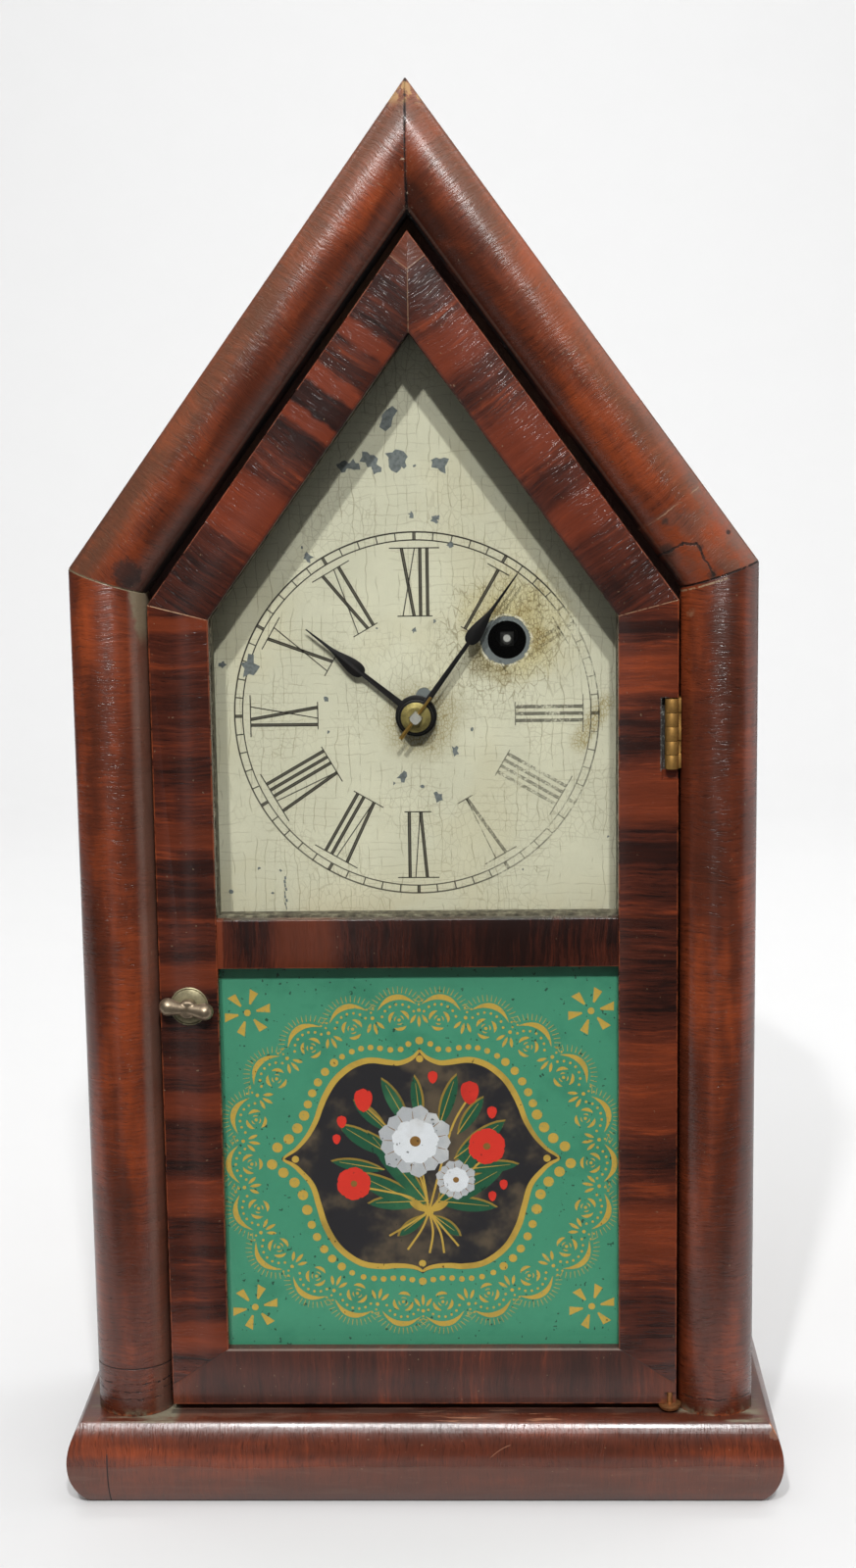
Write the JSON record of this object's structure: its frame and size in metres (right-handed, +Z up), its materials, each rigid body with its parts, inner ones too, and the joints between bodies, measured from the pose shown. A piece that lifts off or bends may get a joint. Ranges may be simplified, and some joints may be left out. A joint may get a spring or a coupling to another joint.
{
  "type": "steeple clock",
  "caption": "Small peaked wooden shelf clock with half-round mouldings, a glazed door with a painted lower pane, a painted dial, hands and a spring driven pendulum movement.",
  "frame": {"origin": "centre of the case's footprint on the surface that it stands on", "axes": "+Z up, the door and dial face -Y, +X to the viewer's right"},
  "size_m": [0.196, 0.096, 0.381],
  "materials": {
    "veneer": "gloss",
    "stained_pine": "satin",
    "raw_pine": "matte",
    "clear_glass": "gloss",
    "painted_glass": "gloss",
    "putty": "matte",
    "dial_paint": "satin",
    "blued_steel": "satin",
    "old_brass": "satin",
    "movement_brass": "satin",
    "steel": "satin",
    "spring_steel": "satin",
    "iron": "matte"
  },
  "bodies": {
    "case": {"base_plinth": "stained_pine", "base_front_moulding": "veneer", "base_end_mouldings": "veneer", "left_side": "stained_pine", "right_side": "stained_pine", "left_roof_board": "stained_pine", "right_roof_board": "stained_pine", "back_board": "raw_pine", "face_frame": "stained_pine", "left_column_moulding": "veneer", "right_column_moulding": "veneer", "left_roof_moulding": "veneer", "right_roof_moulding": "veneer", "dial_supports": "raw_pine", "dial_plate": "dial_paint", "dial_nails": "old_brass", "hinge_case_leaf": "old_brass", "hinge_case_screws": "old_brass", "hinge_pin": "old_brass", "movement_battens": "raw_pine", "movement_screws": "steel", "front_plate": "movement_brass", "back_plate": "movement_brass", "plate_pillars": "movement_brass", "escape_bridge": "movement_brass", "suspension_post": "movement_brass", "mainspring": "spring_steel"},
    "door": {"door_left_stile": "veneer", "door_right_stile": "veneer", "door_left_rafter": "veneer", "door_right_rafter": "veneer", "door_mid_rail": "veneer", "door_bottom_rail": "veneer", "upper_glass": "clear_glass", "lower_tablet": "painted_glass", "glazing_putty": "putty", "hinge_door_leaf": "old_brass", "hinge_door_screws": "old_brass", "pivot_screw": "old_brass", "latch_plate": "old_brass"},
    "latch": {"latch_turn": "old_brass", "latch_hook": "iron"},
    "hands": {"centre_arbor": "steel", "minute_hand": "blued_steel", "hand_washer": "old_brass", "taper_pin": "old_brass"},
    "hour": {"hour_wheel": "movement_brass", "hour_hand": "blued_steel"},
    "minute_work": {"minute_wheel": "movement_brass"},
    "centre": {"centre_wheel": "movement_brass"},
    "third": {"third_wheel": "movement_brass"},
    "escape": {"escape_wheel": "movement_brass"},
    "great": {"great_wheel": "movement_brass", "click_spring": "steel"},
    "click_lever": {"click": "steel"},
    "winding": {"winding_arbor": "steel"},
    "verge": {"verge_crutch": "steel"},
    "pendulum": {"suspension_spring": "steel", "pendulum_rod": "movement_brass", "pendulum_bob": "movement_brass"}
  },
  "joints": [
    {"name": "door_hinge", "type": "hinge", "parent": "case", "child": "door", "pos_m": [0.0677, -0.037, 0.2127], "axis": [0, 0, 1], "range_deg": [0, 120]},
    {"name": "latch_turn_pivot", "type": "hinge", "parent": "door", "child": "latch", "pos_m": [-0.0616, -0.038, 0.1399], "axis": [0, 1, 0], "range_deg": [0, 90]},
    {"name": "minute_hand_turn", "type": "hinge", "parent": "case", "child": "hands", "pos_m": [0, -0.01, 0.2157], "axis": [0, 1, 0], "continuous": true},
    {"name": "hour_hand_turn", "type": "hinge", "parent": "case", "child": "hour", "pos_m": [0, -0.01, 0.2157], "axis": [0, 1, 0], "continuous": true},
    {"name": "minute_wheel_turn", "type": "hinge", "parent": "case", "child": "minute_work", "pos_m": [0.00848, -0.005, 0.20559], "axis": [0, 1, 0], "continuous": true},
    {"name": "third_wheel_turn", "type": "hinge", "parent": "case", "child": "third", "pos_m": [-0.01963, 0.014, 0.22844], "axis": [0, 1, 0], "continuous": true},
    {"name": "centre_wheel_turn", "type": "hinge", "parent": "case", "child": "centre", "pos_m": [0, 0.024, 0.2157], "axis": [0, 1, 0], "continuous": true},
    {"name": "great_wheel_turn", "type": "hinge", "parent": "case", "child": "great", "pos_m": [0.0247, 0.0035, 0.2358], "axis": [0, 1, 0], "continuous": true},
    {"name": "escape_wheel_turn", "type": "hinge", "parent": "case", "child": "escape", "pos_m": [-0.014, -0.005, 0.2457], "axis": [0, 1, 0], "continuous": true},
    {"name": "winding_turn", "type": "hinge", "parent": "case", "child": "winding", "pos_m": [0.0247, -0.005, 0.2358], "axis": [0, 1, 0], "continuous": true},
    {"name": "click_lift", "type": "hinge", "parent": "great", "child": "click_lever", "pos_m": [0.0077, 0.0015, 0.2358], "axis": [0, -1, 0], "range_deg": [0, 8]},
    {"name": "pendulum_swing", "type": "hinge", "parent": "case", "child": "pendulum", "pos_m": [-0.014, -0.0128, 0.2697], "axis": [0, 1, 0], "range_deg": [-4, 4]},
    {"name": "verge_rock", "type": "hinge", "parent": "case", "child": "verge", "pos_m": [-0.014, -0.005, 0.2647], "axis": [0, 1, 0], "range_deg": [-4, 4]}
  ],
  "couplings": [
    {"joint": "hour_hand_turn", "follows": "minute_hand_turn", "ratio": 0.083333},
    {"joint": "minute_wheel_turn", "follows": "minute_hand_turn", "ratio": -0.33333},
    {"joint": "centre_wheel_turn", "follows": "third_wheel_turn", "ratio": -0.083333},
    {"joint": "great_wheel_turn", "follows": "third_wheel_turn", "ratio": 0.013889},
    {"joint": "escape_wheel_turn", "follows": "third_wheel_turn", "ratio": -10},
    {"joint": "verge_rock", "follows": "pendulum_swing", "ratio": 1}
  ]
}
